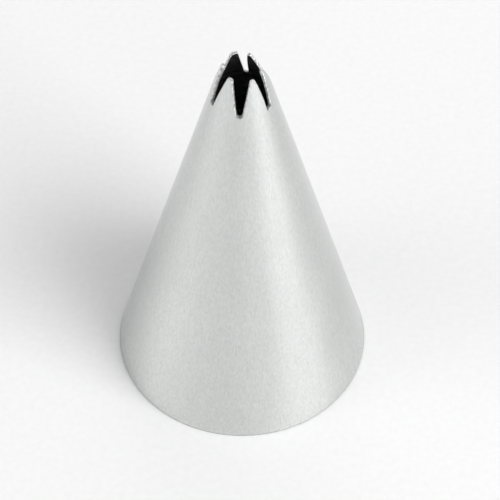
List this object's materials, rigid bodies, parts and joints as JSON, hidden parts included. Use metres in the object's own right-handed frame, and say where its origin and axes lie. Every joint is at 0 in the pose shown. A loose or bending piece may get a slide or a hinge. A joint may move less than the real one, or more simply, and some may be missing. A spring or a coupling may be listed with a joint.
{
  "type": "piping nozzle",
  "caption": "Tapered one-piece steel shell with a wide open end and a notched star mouth, fitted in the cut end of a piping bag to shape icing.",
  "frame": {"origin": "centre of the wide rim, in the plane that the nozzle stands on", "axes": "+Z along the nozzle's axis from the wide rim to the star mouth; one notch of the mouth is centred on -Y"},
  "size_m": [0.035, 0.035, 0.0558],
  "materials": {
    "steel": "satin, with fine polishing lines that run from the wide rim to the mouth, and brighter cut edges"
  },
  "bodies": {
    "root": {"star_nozzle": "steel"}
  },
  "joints": []
}
